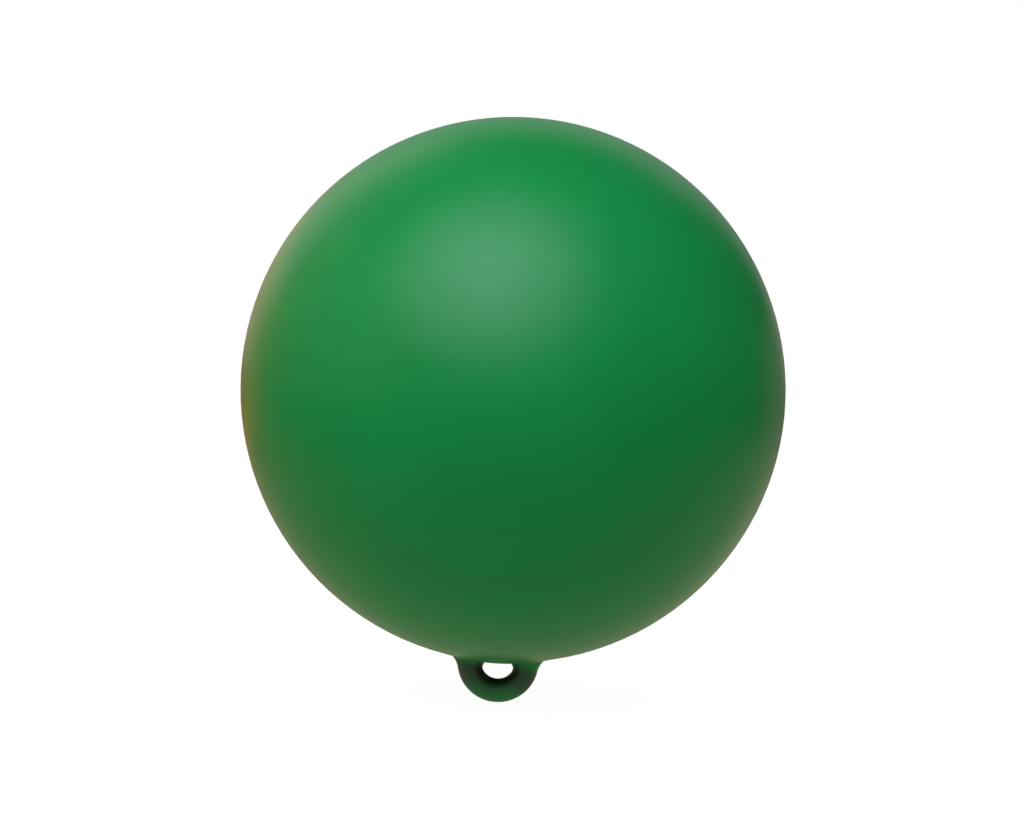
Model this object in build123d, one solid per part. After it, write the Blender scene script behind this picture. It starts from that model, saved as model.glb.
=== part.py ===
"""Slalom course buoy: an inflated vinyl ball with a rope eye at its foot and a screw valve at its back.

Millimetres and degrees. +Z is up, the origin is the ball's centre, on its waterline when moored,
and +Y runs along the eye's hole, from the front to the back.
"""

import os
from math import atan2, cos, degrees, hypot, isclose, radians, sin, sqrt

from build123d import *

# Ball
ball_diameter = 216.0
shell_wall = 2.6

# Rope eye, a half-ring loop that hangs under the ball, its legs flared where they meet it
eye_hole_width = 13.4
eye_ring_width = 9.4
eye_thickness = 11.0
eye_drop = 1.0  # from the ball's lowest point down to the half ring's centre
eye_flare_radius = 9.0
eye_flare_sink = 0.5  # how far the flare's outer edge runs into the ball
eye_root_fillet = 2.5

# Pad that carries the loop, welded into an opening in the ball's foot
pad_margin = 2.0  # beyond the loop's flared feet
pad_bulge = 0.85  # how far its middle stands out from the ball's curve
pad_flange_width = 8.0  # lap joint inside the shell
pad_flange_thickness = 4.0
seam_chamfer = 0.4  # witness line round the pad

# Valve pocket, in a thick boss at the back of the ball
valve_angle = 50.0  # from straight down, towards the back
pocket_diameter = 25.0
pocket_depth = 7.5
pocket_lip_radius = 2.0
boss_wall = 3.0  # round the pocket
boss_length = 11.0  # inwards from the pocket's floor

# Bush in the boss, held by its barbs
seat_flange_diameter = 20.0
seat_flange_thickness = 1.6
seat_sleeve_wall = 1.6
seat_overhang = 1.5  # past the boss's inner end
seat_barb_height = 0.9
seat_barb_length = 2.2
seat_barb_count = 3
seat_barb_start = 0.7  # from the flange to the first barb, as a share of the barbs' pitch

# Screw plug and its sealing washer
plug_thread_diameter = 10.0
plug_thread_depth = 0.8  # the shank is left plain, as thick as the thread's core
plug_thread_clearance = 0.15  # radial, in the bush
plug_shank_length = 11.5
plug_tip_chamfer = 1.0
plug_head_diameter = 17.0
plug_head_thickness = 3.2
plug_head_edge_radius = 0.8
plug_slot_width = 2.4
plug_slot_depth = 1.7
washer_diameter = 15.0
washer_thickness = 1.5
washer_clearance = 0.2  # radial, round the plug's thread

# Worked out from the sizes above
ball_radius = ball_diameter / 2
inner_radius = ball_radius - shell_wall
hole_radius = eye_hole_width / 2
loop_radius = hole_radius + eye_ring_width
loop_height = -(ball_radius + eye_drop)

# The flare's centre, one flare radius out from the loop's rim and nearly that far out from the ball
rim_reach = loop_radius + eye_flare_radius
ball_reach = ball_radius + eye_flare_radius - eye_flare_sink
flare_height = (ball_reach**2 + loop_height**2 - rim_reach**2) / (2 * loop_height)
flare_across = sqrt(ball_reach**2 - flare_height**2)
flare_foot = flare_across * (1 - eye_flare_radius / ball_reach)
pad_radius = flare_foot + pad_margin

# The pad's face, a dome that meets the ball's curve at the pad's edge
dome_rise = ball_radius + pad_bulge - sqrt(ball_radius**2 - pad_radius**2)
dome_radius = (pad_radius**2 + dome_rise**2) / (2 * dome_rise)
dome_middle = Vector(0, 0, dome_radius - ball_radius - pad_bulge)
flange_radius = pad_radius + pad_flange_width

# Heights in the valve run outwards from the ball's surface
floor_height = -pocket_depth
boss_end = floor_height - boss_length
seat_end = boss_end - seat_overhang
flange_top = floor_height + seat_flange_thickness
washer_top = flange_top + washer_thickness
head_top = washer_top + plug_head_thickness
plug_end = washer_top - plug_shank_length

pocket_radius = pocket_diameter / 2
boss_radius = pocket_radius + boss_wall
thread_radius = plug_thread_diameter / 2
core_radius = thread_radius - plug_thread_depth
seat_bore_radius = thread_radius + plug_thread_clearance
sleeve_radius = seat_bore_radius + seat_sleeve_wall
seat_flange_radius = seat_flange_diameter / 2
head_radius = plug_head_diameter / 2

valve_direction = Vector(0, sin(radians(valve_angle)), -cos(radians(valve_angle)))
valve_plane = Plane(origin=valve_direction * ball_radius, x_dir=(1, 0, 0), z_dir=valve_direction)


def foot(radius, across):
    """Height of a sphere's lower half at a distance from the ball's axis."""
    return -sqrt(radius**2 - across**2)


def turned(outline):
    """Solid turned about the Z axis from a closed half outline, drawn as (radius, height)."""
    return revolve(Plane.XZ * make_face(outline), Axis.Z)


def turned_steps(points):
    """Solid turned about the Z axis from the corners of a closed half outline."""
    return turned(Polyline(*points, close=True).edges())


def agree(length, other):
    """Whether two lengths are the same to a micrometre."""
    return isclose(length, other, abs_tol=1e-3)


def points_along(edge):
    """Three points of an edge: near its start, in its middle and near its end."""
    return [edge @ part for part in (0.1, 0.5, 0.9)]


def round_edges(solid, plane, radius, height):
    """Edges of a solid that run round a plane's axis at one radius and height."""
    found = ShapeList()
    for edge in solid.edges():
        points = [plane.to_local_coords(point) for point in points_along(edge)]
        if all(agree(hypot(p.X, p.Y), radius) and agree(p.Z, height) for p in points):
            found.append(edge)
    return found


def make_ball():
    """Hollow ball with the opening at its foot that takes the eye's pad."""
    low = foot(ball_radius, pad_radius)
    low_inner = foot(inner_radius, pad_radius)
    outline = [
        RadiusArc((0, ball_radius), (ball_radius, 0), ball_radius),
        RadiusArc((ball_radius, 0), (pad_radius, low), ball_radius),
        Line((pad_radius, low), (pad_radius, low_inner)),
        RadiusArc((pad_radius, low_inner), (inner_radius, 0), -inner_radius),
        RadiusArc((inner_radius, 0), (0, inner_radius), -inner_radius),
        Line((0, inner_radius), (0, ball_radius)),
    ]
    ball = turned(outline)
    return chamfer(round_edges(ball, Plane.XY, pad_radius, low), seam_chamfer)


def seat_form():
    """Outside of the valve's bush as a solid: a flange, and a sleeve with sawtooth barbs."""
    barb_radius = sleeve_radius + seat_barb_height
    barb_pitch = boss_length / (seat_barb_count + 1)
    points = [(0, flange_top), (seat_flange_radius, flange_top), (seat_flange_radius, floor_height)]
    points.append((sleeve_radius, floor_height))
    for barb in range(seat_barb_count):
        barb_top = floor_height - (barb + seat_barb_start) * barb_pitch
        points.append((sleeve_radius, barb_top))
        points.append((barb_radius, barb_top))
        points.append((sleeve_radius, barb_top - seat_barb_length))
    points += [(sleeve_radius, seat_end), (0, seat_end)]
    return turned_steps(points)


def make_shell():
    """The ball, with the valve's boss moulded inside it, the pocket sunk into it and the bush's seat."""
    boss = turned_steps([(0, 0), (boss_radius, 0), (boss_radius, boss_end), (0, boss_end)])
    pocket = turned_steps(
        [(0, pocket_depth), (pocket_radius, pocket_depth), (pocket_radius, floor_height), (0, floor_height)]
    )
    shell = make_ball() + (valve_plane * boss & Sphere(ball_radius - shell_wall / 2))
    shell -= valve_plane * pocket
    lip_height = -ball_radius - foot(ball_radius, pocket_radius)
    shell = fillet(round_edges(shell, valve_plane, pocket_radius, lip_height), pocket_lip_radius)
    return shell - valve_plane * seat_form()


def make_pad():
    """Round pad of the eye: domed a little more than the ball, with a flange that laps the shell inside."""
    low = foot(ball_radius, pad_radius)
    low_inner = foot(inner_radius, pad_radius)
    edge = foot(inner_radius, flange_radius)
    shrink = 1 - pad_flange_thickness / inner_radius
    back = (flange_radius * shrink, edge * shrink)
    outline = [
        RadiusArc((pad_radius, low), (0, -ball_radius - pad_bulge), dome_radius),
        Line((0, -ball_radius - pad_bulge), (0, back[1])),
        Line((0, back[1]), back),
        Line(back, (flange_radius, edge)),
        RadiusArc((flange_radius, edge), (pad_radius, low_inner), inner_radius),
        Line((pad_radius, low_inner), (pad_radius, low)),
    ]
    pad = turned(outline)
    return chamfer(round_edges(pad, Plane.XY, pad_radius, low), seam_chamfer)


def make_rope_eye():
    """Half-ring loop of oval section, its legs bent outwards into the ball's curve, on its pad."""
    across = Vector(0, 1, 0)
    middle = Vector(0, 0, loop_height)
    flare_middle = Vector(flare_across, 0, flare_height)
    outwards = (flare_middle - middle).normalized()
    section_plane = Plane(origin=middle, x_dir=outwards, z_dir=outwards.cross(across))
    oval = Ellipse(eye_ring_width / 2, eye_thickness / 2)
    section = section_plane * Pos(hole_radius + eye_ring_width / 2, 0) * oval
    slope = degrees(atan2(loop_height - flare_height, flare_across))
    bend = (middle - flare_middle).get_angle(-flare_middle)
    half_ring = revolve(section, Axis(middle, across), 180 - 2 * slope)
    leg = revolve(section, Axis(flare_middle, across), bend)
    pad = Rot(0, 0, 90) * make_pad()  # turns its seam to the loop's open side, where the blend runs clean
    eye = pad + half_ring + leg + mirror(leg, Plane.YZ)
    root = ShapeList()
    for edge in eye.edges():
        points = points_along(edge)
        on_dome = all(agree((p - dome_middle).length, dome_radius) for p in points)
        if on_dome and all(hypot(p.X, p.Y) < flare_foot for p in points):
            root.append(edge)
    return fillet(root, eye_root_fillet)


def make_valve_seat():
    """Bush that takes the plug's thread."""
    above, below = pocket_depth, 2 * seat_end  # past both ends of the bush
    bore = [(0, above), (seat_bore_radius, above), (seat_bore_radius, below), (0, below)]
    return valve_plane * (seat_form() - turned_steps(bore))


def make_valve_washer():
    """Flat ring between the bush's flange and the plug's head."""
    inside = thread_radius + washer_clearance
    outside = washer_diameter / 2
    ring = [(inside, flange_top), (outside, flange_top), (outside, washer_top), (inside, washer_top)]
    return valve_plane * turned_steps(ring)


def make_valve_plug():
    """Screw plug with a coin slot across its head."""
    points = [
        (0, head_top),
        (head_radius, head_top),
        (head_radius, washer_top),
        (core_radius, washer_top),
        (core_radius, plug_end + plug_tip_chamfer),
        (core_radius - plug_tip_chamfer, plug_end),
        (0, plug_end),
    ]
    plug = turned_steps(points)
    plug = fillet(round_edges(plug, Plane.XY, head_radius, head_top), plug_head_edge_radius)
    slot = Pos(0, 0, head_top) * Box(2 * plug_head_diameter, plug_slot_width, 2 * plug_slot_depth)
    return valve_plane * (plug - slot)


pieces = {
    "shell": make_shell(),
    "rope_eye": make_rope_eye(),
    "valve_seat": make_valve_seat(),
    "valve_washer": make_valve_washer(),
    "valve_plug": make_valve_plug(),
}

os.makedirs("parts", exist_ok=True)
for name, piece in pieces.items():
    export_step(piece, f"parts/{name}.step")
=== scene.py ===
import math

import bmesh
import bpy
from mathutils import Matrix, Vector


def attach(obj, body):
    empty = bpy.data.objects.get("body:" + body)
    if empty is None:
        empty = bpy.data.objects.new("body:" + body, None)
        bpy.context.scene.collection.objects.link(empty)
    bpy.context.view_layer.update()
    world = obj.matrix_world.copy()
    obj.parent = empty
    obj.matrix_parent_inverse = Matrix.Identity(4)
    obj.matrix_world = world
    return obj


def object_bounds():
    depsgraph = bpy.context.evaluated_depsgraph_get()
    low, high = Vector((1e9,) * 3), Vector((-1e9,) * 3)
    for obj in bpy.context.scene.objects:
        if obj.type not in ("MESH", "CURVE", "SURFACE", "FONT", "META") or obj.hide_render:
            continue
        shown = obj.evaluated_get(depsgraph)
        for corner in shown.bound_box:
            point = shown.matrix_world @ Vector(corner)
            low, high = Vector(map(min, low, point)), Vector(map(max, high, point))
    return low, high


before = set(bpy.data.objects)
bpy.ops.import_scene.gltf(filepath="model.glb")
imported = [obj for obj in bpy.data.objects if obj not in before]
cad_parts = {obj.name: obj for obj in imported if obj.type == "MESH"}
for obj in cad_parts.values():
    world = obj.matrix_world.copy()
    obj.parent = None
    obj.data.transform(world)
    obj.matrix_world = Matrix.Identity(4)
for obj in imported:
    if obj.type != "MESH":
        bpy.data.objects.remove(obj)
cad_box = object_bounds()


# Ball: a hollow skin of soft vinyl, about 2.6 mm thick, cast in a closed turning mould and blown up hard
# through its valve. The pigment goes right through the skin, and the mould's blasted face leaves it satin.
def linear(hex_colour):
    """An sRGB hex colour as linear RGBA."""
    channels = [int(hex_colour[start:start + 2], 16) / 255 for start in (1, 3, 5)]
    return [c / 12.92 if c <= 0.04045 else ((c + 0.055) / 1.055) ** 2.4 for c in channels] + [1.0]


def scale_for(millimetres):
    """The noise scale that gives a pattern of this size."""
    return 1000 / millimetres


def add(tree, kind, inputs=None, **settings):
    """Add a node with its settings, input values and links."""
    node = tree.nodes.new(kind)
    for name, value in settings.items():
        setattr(node, name, value)
    for name, value in (inputs or {}).items():
        if isinstance(value, bpy.types.NodeSocket):
            tree.links.new(value, node.inputs[name])
        else:
            node.inputs[name].default_value = value
    return node


def new_material(name):
    """An empty material, its node tree and its Object coordinates."""
    material = bpy.data.materials.new(name)
    material.use_nodes = True
    tree = material.node_tree
    tree.nodes.clear()
    return material, tree, add(tree, "ShaderNodeTexCoord").outputs["Object"]


def finish_material(tree, shader):
    """Link a shader node to the material's output."""
    add(tree, "ShaderNodeOutputMaterial", {"Surface": shader.outputs[0]})


def dress(node_name, material):
    """Give a CAD node's object one material."""
    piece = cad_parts[node_name]
    piece.data.materials.clear()
    piece.data.materials.append(material)


# Pigmented soft vinyl from a blasted mould: an even green with broad, faint clouds of pigment, a satin
# sheen that is smoother in some patches than in others, and a fine grain that softens every reflection.
# The real grain is a few tenths of a millimetre, and is drawn at 0.9 mm so that it shows.
FACTOR, FIRST, SECOND, MIXED = 0, 6, 7, 2  # a colour mix node's three inputs, and its output
VINYL_GRAIN = 0.9  # in millimetres
VINYL_IOR = 1.53
VINYL_SPECULAR = 0.30
soft_vinyl, tree, place = new_material("soft_vinyl_green")
clouds = add(tree, "ShaderNodeTexNoise", {"Vector": place, "Scale": scale_for(60), "Detail": 3.0})
patches = add(tree, "ShaderNodeTexNoise", {"Vector": place, "Scale": scale_for(22), "Detail": 3.0})
grain = add(tree, "ShaderNodeTexNoise", {"Vector": place, "Scale": scale_for(VINYL_GRAIN), "Detail": 2.0})
pigment = add(tree, "ShaderNodeMix", {
    FACTOR: clouds.outputs["Fac"], FIRST: linear("#007A36"), SECOND: linear("#058742"),
}, data_type="RGBA")
satin = add(tree, "ShaderNodeMapRange", {"Value": patches.outputs["Fac"], "To Min": 0.30, "To Max": 0.38})
relief = add(tree, "ShaderNodeBump", {"Height": grain.outputs["Fac"], "Strength": 0.15, "Distance": 0.0001})
vinyl_skin = add(tree, "ShaderNodeBsdfPrincipled", {
    "Base Color": pigment.outputs[MIXED], "Roughness": satin.outputs["Result"],
    "Normal": relief.outputs["Normal"], "IOR": VINYL_IOR, "Specular IOR Level": VINYL_SPECULAR,
})
finish_material(tree, vinyl_skin)
dress("shell", soft_vinyl)


# Mould line: the fine bead that the two halves of the mould leave right round the ball, trimmed nearly
# flush. It runs from one side of the eye's pad over the top to the other side, and is part of the skin.
BALL_RADIUS = cad_box[1][2]  # the ball's centre is the origin
PAD_RADIUS = 0.02472
LINE_CLEARANCE = 0.004  # in radians, from the groove round the pad
BEAD_SECTION = [  # across the line, and out from the skin
    (-0.00045, -0.00006), (-0.00022, 0.00008), (0, 0.00012), (0.00022, 0.00008), (0.00045, -0.00006),
]


def start_bead(form, foot, outwards):
    """Draw the bead's section, across Y at a foot on the skin, and return its vertices and edges."""
    points = []
    for across, rise in BEAD_SECTION:
        points.append(form.verts.new(foot + outwards * rise + Vector((0, across, 0))))
    return points + [form.edges.new(pair) for pair in zip(points, points[1:] + points[:1])]


def run_bead(form, section, middle, axis, angle, steps):
    """Sweep a bead's section round a middle, and return the section where it ends."""
    swept = bmesh.ops.spin(form, geom=section, cent=middle, axis=axis, angle=angle, steps=steps)
    return swept["geom_last"]


def close_ends(form, sides):
    """Close a swept form's two ends, and turn its faces outwards."""
    ends = [edge for edge in form.edges if edge.is_boundary]
    bmesh.ops.holes_fill(form, edges=ends, sides=sides)
    bmesh.ops.recalc_face_normals(form, faces=form.faces)


def new_piece(name, form, material, body):
    """Turn a bmesh into a smooth piece that rides on a body."""
    mesh = bpy.data.meshes.new(name)
    form.to_mesh(mesh)
    form.free()
    mesh.shade_smooth()
    mesh.materials.append(material)
    piece = bpy.data.objects.new(name, mesh)
    bpy.context.collection.objects.link(piece)
    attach(piece, body)


line_start = math.asin(PAD_RADIUS / BALL_RADIUS) + LINE_CLEARANCE
low = Vector((math.sin(line_start), 0, -math.cos(line_start)))
form = bmesh.new()
section = start_bead(form, low * BALL_RADIUS, low)
run_bead(form, section, (0, 0, 0), (0, -1, 0), 2 * math.pi - 2 * line_start, steps=220)
close_ends(form, len(BEAD_SECTION))
new_piece("mould_line", form, soft_vinyl, "buoy")


# Rope eye: a solid half-ring loop of the same vinyl on a round pad, welded into the ball's foot.
# Its legs and the inside of the loop carry painted shade where the ball hangs over them, and the painted
# shade weakens at the tip.
LOOP_HEIGHT = -0.109
SHADE_STARTS = -0.1036
SHADE_FULL = -0.1096
SHADE_SLANT = 0.13  # its edge lies higher on one leg than on the other
SHADE_RAGGEDNESS = 0.006  # how far the clouds shift its edge
TIP_STARTS = -0.1132
TIP_ENDS = -0.1205
HOLE_SHADE_STARTS = 0.0105  # out from the middle of the loop
HOLE_SHADE_FULL = 0.0076

# The ball's vinyl under painted shade: a grey-green with an uneven edge on the legs, where the ball shades
# the loop, weaker at the tip and nearly black inside the loop. It is duller where the painted shade is
# deeper.
# The grain is drawn at 0.9 mm, as on the ball.
shaded_vinyl, tree, place = new_material("shaded_vinyl_green")
clouds = add(tree, "ShaderNodeTexNoise", {"Vector": place, "Scale": scale_for(12), "Detail": 4.0})
grain = add(tree, "ShaderNodeTexNoise", {"Vector": place, "Scale": scale_for(VINYL_GRAIN), "Detail": 2.0})
patchy = add(tree, "ShaderNodeMapRange", {
    "Value": clouds.outputs["Fac"], "From Min": 0.3, "From Max": 0.7, "To Min": 0.8, "To Max": 1.05,
})
height = add(tree, "ShaderNodeVectorMath", {0: place, 1: (SHADE_SLANT, 0, 1)}, operation="DOT_PRODUCT")
uneven = add(tree, "ShaderNodeMath", {
    0: clouds.outputs["Fac"], 1: SHADE_RAGGEDNESS, 2: height.outputs["Value"],
}, operation="MULTIPLY_ADD")
# painted shade on the legs under the ball, weakened at the tip below
leg_shade = add(tree, "ShaderNodeMapRange", {
    "Value": uneven.outputs[0], "From Min": SHADE_STARTS, "From Max": SHADE_FULL, "To Max": 0.92,
}, interpolation_type="SMOOTHSTEP")
tip = add(tree, "ShaderNodeMapRange", {
    "Value": uneven.outputs[0], "From Min": TIP_STARTS, "From Max": TIP_ENDS, "To Min": 1.0, "To Max": 0.40,
}, interpolation_type="SMOOTHSTEP")
shade_on_loop = add(tree, "ShaderNodeMath", {
    0: leg_shade.outputs["Result"], 1: tip.outputs["Result"],
}, operation="MULTIPLY")
painted_shade = add(tree, "ShaderNodeMath", {
    0: shade_on_loop.outputs[0], 1: patchy.outputs["Result"],
}, operation="MULTIPLY")
# painted shade: the green mixed towards a dark grey-green
shaded_green = add(tree, "ShaderNodeMix", {
    FACTOR: painted_shade.outputs[0], FIRST: linear("#03803C"), SECOND: linear("#37493D"),
}, data_type="RGBA")
from_loop = add(tree, "ShaderNodeVectorMath", {0: place, 1: (0, 0, LOOP_HEIGHT)}, operation="SUBTRACT")
in_plane = add(tree, "ShaderNodeVectorMath", {0: from_loop.outputs[0], 1: (1, 0, 1)}, operation="MULTIPLY")
reach = add(tree, "ShaderNodeVectorMath", {0: in_plane.outputs[0]}, operation="LENGTH")
# painted shade inside the loop, nearly black
inside = add(tree, "ShaderNodeMapRange", {
    "Value": reach.outputs["Value"], "From Min": HOLE_SHADE_STARTS, "From Max": HOLE_SHADE_FULL, "To Max": 0.9,
}, interpolation_type="SMOOTHSTEP")
hole_shade = add(tree, "ShaderNodeMath", {
    0: inside.outputs["Result"], 1: leg_shade.outputs["Result"],
}, operation="MULTIPLY")
shaded_colour = add(tree, "ShaderNodeMix", {
    FACTOR: hole_shade.outputs[0], FIRST: shaded_green.outputs[MIXED], SECOND: linear("#0A100B"),
}, data_type="RGBA")
satin = add(tree, "ShaderNodeMapRange", {"Value": painted_shade.outputs[0], "To Min": 0.39, "To Max": 0.56})
relief = add(tree, "ShaderNodeBump", {"Height": grain.outputs["Fac"], "Strength": 0.2, "Distance": 0.0001})
vinyl_skin = add(tree, "ShaderNodeBsdfPrincipled", {
    "Base Color": shaded_colour.outputs[MIXED], "Roughness": satin.outputs["Result"],
    "Normal": relief.outputs["Normal"], "IOR": VINYL_IOR, "Specular IOR Level": VINYL_SPECULAR,
})
finish_material(tree, vinyl_skin)
dress("rope_eye", shaded_vinyl)

# The eye's own mould line runs down the outside of one leg, round the loop and up the other leg. Each leg
# bends about a middle that lies one bend's radius outside the loop, and nearly that far outside the ball.
LOOP_RADIUS = 0.0161
BEND_RADIUS = 0.009
BEND_SINK = 0.0005
loop_reach = LOOP_RADIUS + BEND_RADIUS
ball_reach = BALL_RADIUS + BEND_RADIUS - BEND_SINK
bend_height = (ball_reach**2 + LOOP_HEIGHT**2 - loop_reach**2) / (2 * LOOP_HEIGHT)
bend_across = math.sqrt(ball_reach**2 - bend_height**2)
loop_middle = Vector((0, 0, LOOP_HEIGHT))
bend_middle = Vector((bend_across, 0, bend_height))
other_bend = Vector((-bend_across, 0, bend_height))
slope = math.atan2(LOOP_HEIGHT - bend_height, bend_across)
bend = (loop_middle - bend_middle).angle(-bend_middle)
outwards = bend_middle.normalized()
form = bmesh.new()
section = start_bead(form, bend_middle - outwards * BEND_RADIUS, outwards)
section = run_bead(form, section, bend_middle, (0, -1, 0), bend, steps=24)
section = run_bead(form, section, loop_middle, (0, 1, 0), math.pi - 2 * slope, steps=72)
run_bead(form, section, other_bend, (0, -1, 0), bend, steps=24)
close_ends(form, len(BEAD_SECTION))
new_piece("eye_mould_line", form, shaded_vinyl, "buoy")


# Valve bush: a flanged sleeve of natural nylon, injection moulded and pushed into the ball's boss past its
# barbs. Its thread is a ridge inside the plain bore, half a turn away from the plug's own.
VALVE_ANGLE = math.radians(50.0)  # from straight down, towards the back
THREAD_PITCH = 0.0025
CREST_WIDTH = 0.0004
RIDGE_SINK = 0.0002  # how far a ridge's foot runs into its wall
STEPS_PER_TURN = 48

# Undyed nylon from a polished mould: ivory with faint clouds, and a waxy sheen that varies with them.
# Its grain is too fine to show, and is drawn at 0.4 mm.
nylon, tree, place = new_material("natural_nylon")
tint = add(tree, "ShaderNodeTexNoise", {"Vector": place, "Scale": scale_for(6), "Detail": 3.0})
grain = add(tree, "ShaderNodeTexNoise", {"Vector": place, "Scale": scale_for(0.4), "Detail": 2.0})
ivory = add(tree, "ShaderNodeMix", {
    FACTOR: tint.outputs["Fac"], FIRST: linear("#CFCAB8"), SECOND: linear("#E4E0D2"),
}, data_type="RGBA")
sheen = add(tree, "ShaderNodeMapRange", {"Value": tint.outputs["Fac"], "To Min": 0.30, "To Max": 0.46})
relief = add(tree, "ShaderNodeBump", {
    "Height": grain.outputs["Fac"], "Strength": 0.12, "Distance": 0.00005,
})
nylon_skin = add(tree, "ShaderNodeBsdfPrincipled", {
    "Base Color": ivory.outputs[MIXED], "Roughness": sheen.outputs["Result"],
    "Normal": relief.outputs["Normal"], "IOR": 1.53,
})
finish_material(tree, nylon_skin)
dress("valve_seat", nylon)


def thread_ridge(name, wall, crest, foot_width, start, turns, body):
    """A right-hand ridge round the valve's axis, on a wall's radius, from a start below the skin upwards."""
    foot = wall + math.copysign(RIDGE_SINK, wall - crest)
    half_foot = foot_width / 2
    half_crest = CREST_WIDTH / 2
    flank = [(foot, -half_foot), (crest, -half_crest), (crest, half_crest), (foot, half_foot)]
    form = bmesh.new()
    points = [form.verts.new((across, 0, start + rise)) for across, rise in flank]
    for pair in zip(points, points[1:] + points[:1]):
        form.edges.new(pair)
    steps = round(STEPS_PER_TURN * turns)
    bmesh.ops.spin(form, geom=form.verts[:] + form.edges[:], cent=(0, 0, 0), axis=(0, 0, 1),
                   angle=2 * math.pi * turns, steps=steps, dvec=(0, 0, THREAD_PITCH * turns / steps))
    close_ends(form, len(flank))
    outwards = Vector((0, math.sin(VALVE_ANGLE), -math.cos(VALVE_ANGLE)))
    tilt = Matrix.Rotation(VALVE_ANGLE - math.pi, 4, "X")
    bmesh.ops.transform(form, matrix=Matrix.Translation(outwards * BALL_RADIUS) @ tilt, verts=form.verts)
    new_piece(name, form, nylon, body)


thread_ridge("seat_thread", wall=0.00515, crest=0.0044, foot_width=0.0015, start=-0.01815, turns=4.4,
             body="buoy")


# Washer: a flat ring, 1.5 mm thick, cut from black rubber sheet. It stays on the plug's shank, and is
# squeezed between the bush's flange and the plug's head.

# Black rubber sheet: nearly black and matt, with a dusty grey bloom in patches of a few millimetres.
rubber, tree, place = new_material("black_rubber_sheet")
bloom = add(tree, "ShaderNodeTexNoise", {"Vector": place, "Scale": scale_for(3), "Detail": 4.0})
dusty = add(tree, "ShaderNodeMix", {
    FACTOR: bloom.outputs["Fac"], FIRST: linear("#121212"), SECOND: linear("#2A2A29"),
}, data_type="RGBA")
matt = add(tree, "ShaderNodeMapRange", {"Value": bloom.outputs["Fac"], "To Min": 0.6, "To Max": 0.8})
rubber_skin = add(tree, "ShaderNodeBsdfPrincipled", {
    "Base Color": dusty.outputs[MIXED], "Roughness": matt.outputs["Result"], "IOR": 1.52,
})
finish_material(tree, rubber_skin)
dress("valve_washer", rubber)


# Plug: a screw of the same nylon with a coin slot across its head, moulded in one piece with its thread.
# The thread is a ridge round the plain shank, with the 2.5 mm pitch that the joint turns by.
dress("valve_plug", nylon)
thread_ridge("plug_thread", wall=0.0042, crest=0.00495, foot_width=0.0018, start=-0.0144, turns=3.4,
             body="plug")


# Floor: plain white paper that the eye's lowest point touches. It looks white to the camera and keeps the
# buoy's shadow. Behind the ball the paper itself glows in a warm pool, a painted light that the camera
# doesn't see, which brightens the ball's lower edge; reflections see the rest of it dim.
FLOOR_REACH = 40.0
POOL_BEHIND = 0.40
POOL_RADIUS = 0.85
POOL_STRENGTH = 0.79
POOL_STARTS = -0.28  # in front of the ball's middle
POOL_FULL = -0.04
WARM_SIDE = -0.45  # to the left of the ball's middle
PLAIN_SIDE = -0.05
WHITE_SHARE = 0.78  # of what the camera sees, the rest being shaded paper
WHITE_STRENGTH = 1.2
form = bmesh.new()
under_eye = Matrix.Translation((0, 0, cad_box[0][2]))
bmesh.ops.create_grid(form, x_segments=1, y_segments=1, size=FLOOR_REACH, matrix=under_eye)
mesh = bpy.data.meshes.new("floor")
form.to_mesh(mesh)
form.free()
floor = bpy.data.objects.new("floor", mesh)
bpy.context.collection.objects.link(floor)
paper, tree, place = new_material("white_paper_floor")
path = add(tree, "ShaderNodeLightPath")
seen = add(tree, "ShaderNodeMath", {
    0: path.outputs["Is Camera Ray"], 1: path.outputs["Is Transmission Ray"],
}, operation="MAXIMUM")
shade = add(tree, "ShaderNodeMix", {
    FACTOR: path.outputs["Is Glossy Ray"], FIRST: linear("#A8A8A8"), SECOND: linear("#303030"),
}, data_type="RGBA")
# painted light: the paper glows in a pool behind the ball, warmer towards the left
around_pool = add(tree, "ShaderNodeMapping", {
    "Vector": place, "Location": (0, -POOL_BEHIND / POOL_RADIUS, 0),
    "Scale": (1 / POOL_RADIUS, 1 / POOL_RADIUS, 0),
})
pool = add(tree, "ShaderNodeTexGradient", {"Vector": around_pool.outputs[0]}, gradient_type="SPHERICAL")
spot = add(tree, "ShaderNodeSeparateXYZ", {"Vector": place})
fade_in = add(tree, "ShaderNodeMapRange", {
    "Value": spot.outputs["Y"], "From Min": POOL_STARTS, "From Max": POOL_FULL, "To Max": POOL_STRENGTH,
})
glow_strength = add(tree, "ShaderNodeMath", {
    0: pool.outputs["Fac"], 1: fade_in.outputs["Result"],
}, operation="MULTIPLY")
side = add(tree, "ShaderNodeMapRange", {
    "Value": spot.outputs["X"], "From Min": WARM_SIDE, "From Max": PLAIN_SIDE,
})
warmth = add(tree, "ShaderNodeMix", {
    FACTOR: side.outputs["Result"], FIRST: linear("#F29C58"), SECOND: linear("#FFF2D2"),
}, data_type="RGBA")
matt = add(tree, "ShaderNodeBsdfDiffuse", {"Color": shade.outputs[MIXED]})
painted_warm_glow = add(tree, "ShaderNodeEmission", {"Color": warmth.outputs[MIXED], "Strength": glow_strength.outputs[0]})
bounce_and_glow = add(tree, "ShaderNodeAddShader", {0: matt.outputs[0], 1: painted_warm_glow.outputs[0]})
pale = add(tree, "ShaderNodeBsdfDiffuse", {"Color": linear("#E8E8E8")})
glow = add(tree, "ShaderNodeEmission", {"Color": linear("#FFFFFF"), "Strength": WHITE_STRENGTH})
white = add(tree, "ShaderNodeMixShader", {0: WHITE_SHARE, 1: pale.outputs[0], 2: glow.outputs[0]})
both = add(tree, "ShaderNodeMixShader", {0: seen.outputs[0], 1: bounce_and_glow.outputs[0], 2: white.outputs[0]})
finish_material(tree, both)
paper.cycles.emission_sampling = "NONE"  # it is too wide to be sampled as a lamp
mesh.materials.append(paper)


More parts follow.
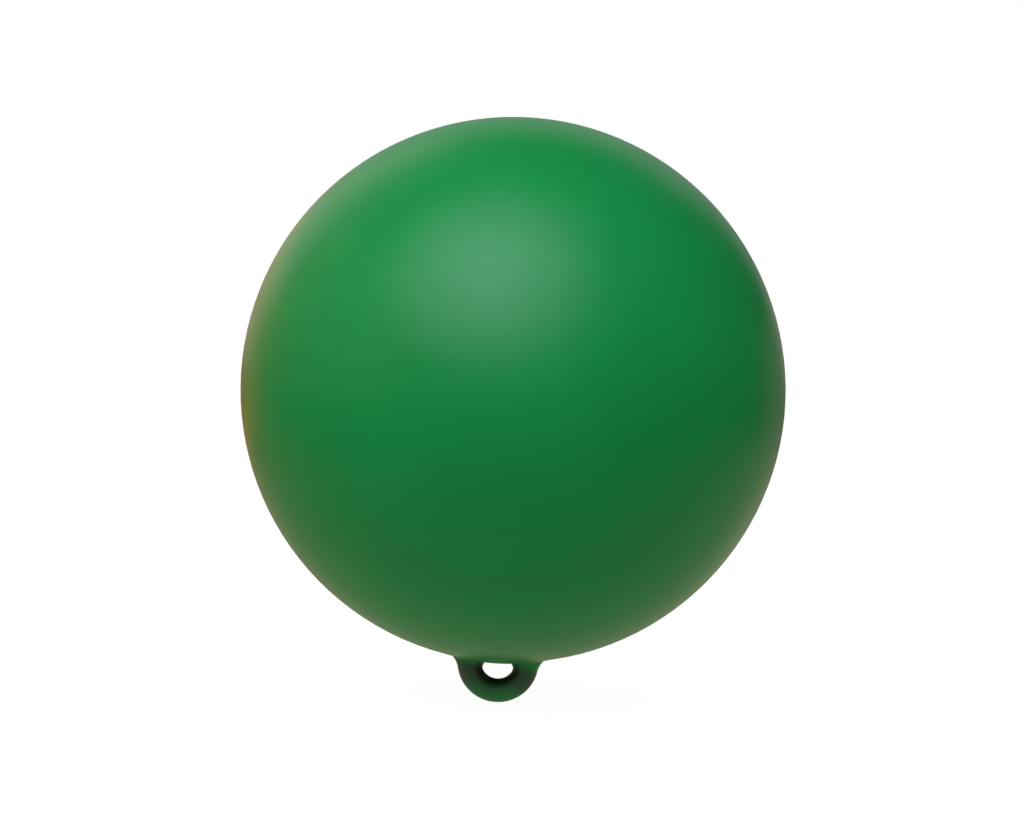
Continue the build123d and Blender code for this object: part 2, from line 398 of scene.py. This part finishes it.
# Room: an even, slightly warm light from all round. The camera sees white behind the buoy, and reflections
# see the room nearly dark, as in the photograph, so that the green stays pure.
ROOM_LIGHT = 0.44
ROOM_IN_REFLECTIONS = 0.04
world = bpy.data.worlds.new("studio")
bpy.context.scene.world = world
world.use_nodes = True
tree = world.node_tree
tree.nodes.clear()
path = add(tree, "ShaderNodeLightPath")
seen = add(tree, "ShaderNodeMath", {
    0: path.outputs["Is Camera Ray"], 1: path.outputs["Is Transmission Ray"],
}, operation="MAXIMUM")
dim = add(tree, "ShaderNodeMath", {
    0: path.outputs["Is Glossy Ray"], 1: ROOM_IN_REFLECTIONS - ROOM_LIGHT, 2: ROOM_LIGHT,
}, operation="MULTIPLY_ADD")
room = add(tree, "ShaderNodeBackground", {"Color": linear("#FFFCEC"), "Strength": dim.outputs[0]})
behind = add(tree, "ShaderNodeBackground", {"Color": linear("#FFFFFF"), "Strength": 1.0})
both = add(tree, "ShaderNodeMixShader", {0: seen.outputs[0], 1: room.outputs[0], 2: behind.outputs[0]})
add(tree, "ShaderNodeOutputWorld", {"Surface": both.outputs[0]})
world.cycles.sampling_method = "NONE"  # an even light needs no sampling of its own


# Lamps: a wide round softbox high in front, whose cloth is brightest in its middle and fades to its edge,
# and five weak panels at the sides and behind, which show mostly as soft light along the ball's outline.
KEY_PLACE = (-0.24, -0.77, 0.98)
KEY_SIZE = 2.2
KEY_WATTS = 61.0
PANELS = [  # name, place, width, depth, watts, colour
    ("back_panel", (-0.20, 1.25, 0.50), 2.0, 1.2, 2.9, "#FFFFFF"),
    ("side_panel", (-0.75, 0.95, 0.75), 0.8, 1.2, 1.1, "#FFF2D4"),
    ("left_wall", (-1.60, -0.20, 0.55), 2.6, 1.6, 5.0, "#FFE8A0"),
    ("warm_panel", (-0.40, 0.52, 0.03), 0.60, 0.32, 0.37, "#F08840"),
    ("right_panel", (0.48, 0.62, 0.0), 0.50, 0.25, 0.10, "#FFDCD0"),
]


def soft_lamp(name, place, width, depth, watts, colour, shape="RECTANGLE"):
    """A soft lamp at a place, turned to the ball's centre."""
    lamp = bpy.data.lights.new(name, "AREA")
    lamp.shape = shape
    lamp.size = width
    lamp.size_y = depth
    lamp.energy = watts
    lamp.color = linear(colour)[:3]
    stand = bpy.data.objects.new(name, lamp)
    turn = Vector(place).to_track_quat("Z", "Y").to_matrix().to_4x4()
    stand.matrix_world = Matrix.Translation(place) @ turn
    stand.visible_camera = False
    bpy.context.collection.objects.link(stand)
    return lamp


key = soft_lamp("key_softbox", KEY_PLACE, KEY_SIZE, KEY_SIZE, KEY_WATTS, "#E8EEFF", "DISK")
key.use_nodes = True
tree = key.node_tree
tree.nodes.clear()
cloth = add(tree, "ShaderNodeNewGeometry")
from_middle = add(tree, "ShaderNodeVectorMath", {
    0: cloth.outputs["Position"], 1: KEY_PLACE,
}, operation="DISTANCE")
fade_out = add(tree, "ShaderNodeMapRange", {
    "Value": from_middle.outputs["Value"], "From Max": KEY_SIZE / 2, "To Min": 1.0, "To Max": 0.0,
})
shine = add(tree, "ShaderNodeEmission", {"Strength": fade_out.outputs["Result"]})
add(tree, "ShaderNodeOutputLight", {"Surface": shine.outputs[0]})
for panel in PANELS:
    soft_lamp(*panel)


# Camera: low in front, a little above level with the ball and 1.4 m away, with a long lens. It has the
# photograph's slight roll, which hangs the eye to the left of the ball's middle.
CAMERA_ELEVATION = math.radians(4.0)
CAMERA_ROLL = math.radians(3.17)
CAMERA_DISTANCE = 1.4
CAMERA_AIM = Vector((0, 0, -0.0078))
SENSOR_WIDTH = 36.0  # in millimetres, as the lens is
FOCAL_LENGTH = 123.86
lens = bpy.data.cameras.new("camera")
lens.sensor_width = SENSOR_WIDTH
lens.lens = FOCAL_LENGTH
camera = bpy.data.objects.new("camera", lens)
back = Vector((0, -math.cos(CAMERA_ELEVATION), math.sin(CAMERA_ELEVATION)))
turn = back.to_track_quat("Z", "Y").to_matrix().to_4x4() @ Matrix.Rotation(CAMERA_ROLL, 4, "Z")
camera.matrix_world = Matrix.Translation(CAMERA_AIM + back * CAMERA_DISTANCE) @ turn
bpy.context.collection.objects.link(camera)
bpy.context.scene.camera = camera
bpy.context.scene.view_settings.view_transform = "Standard"
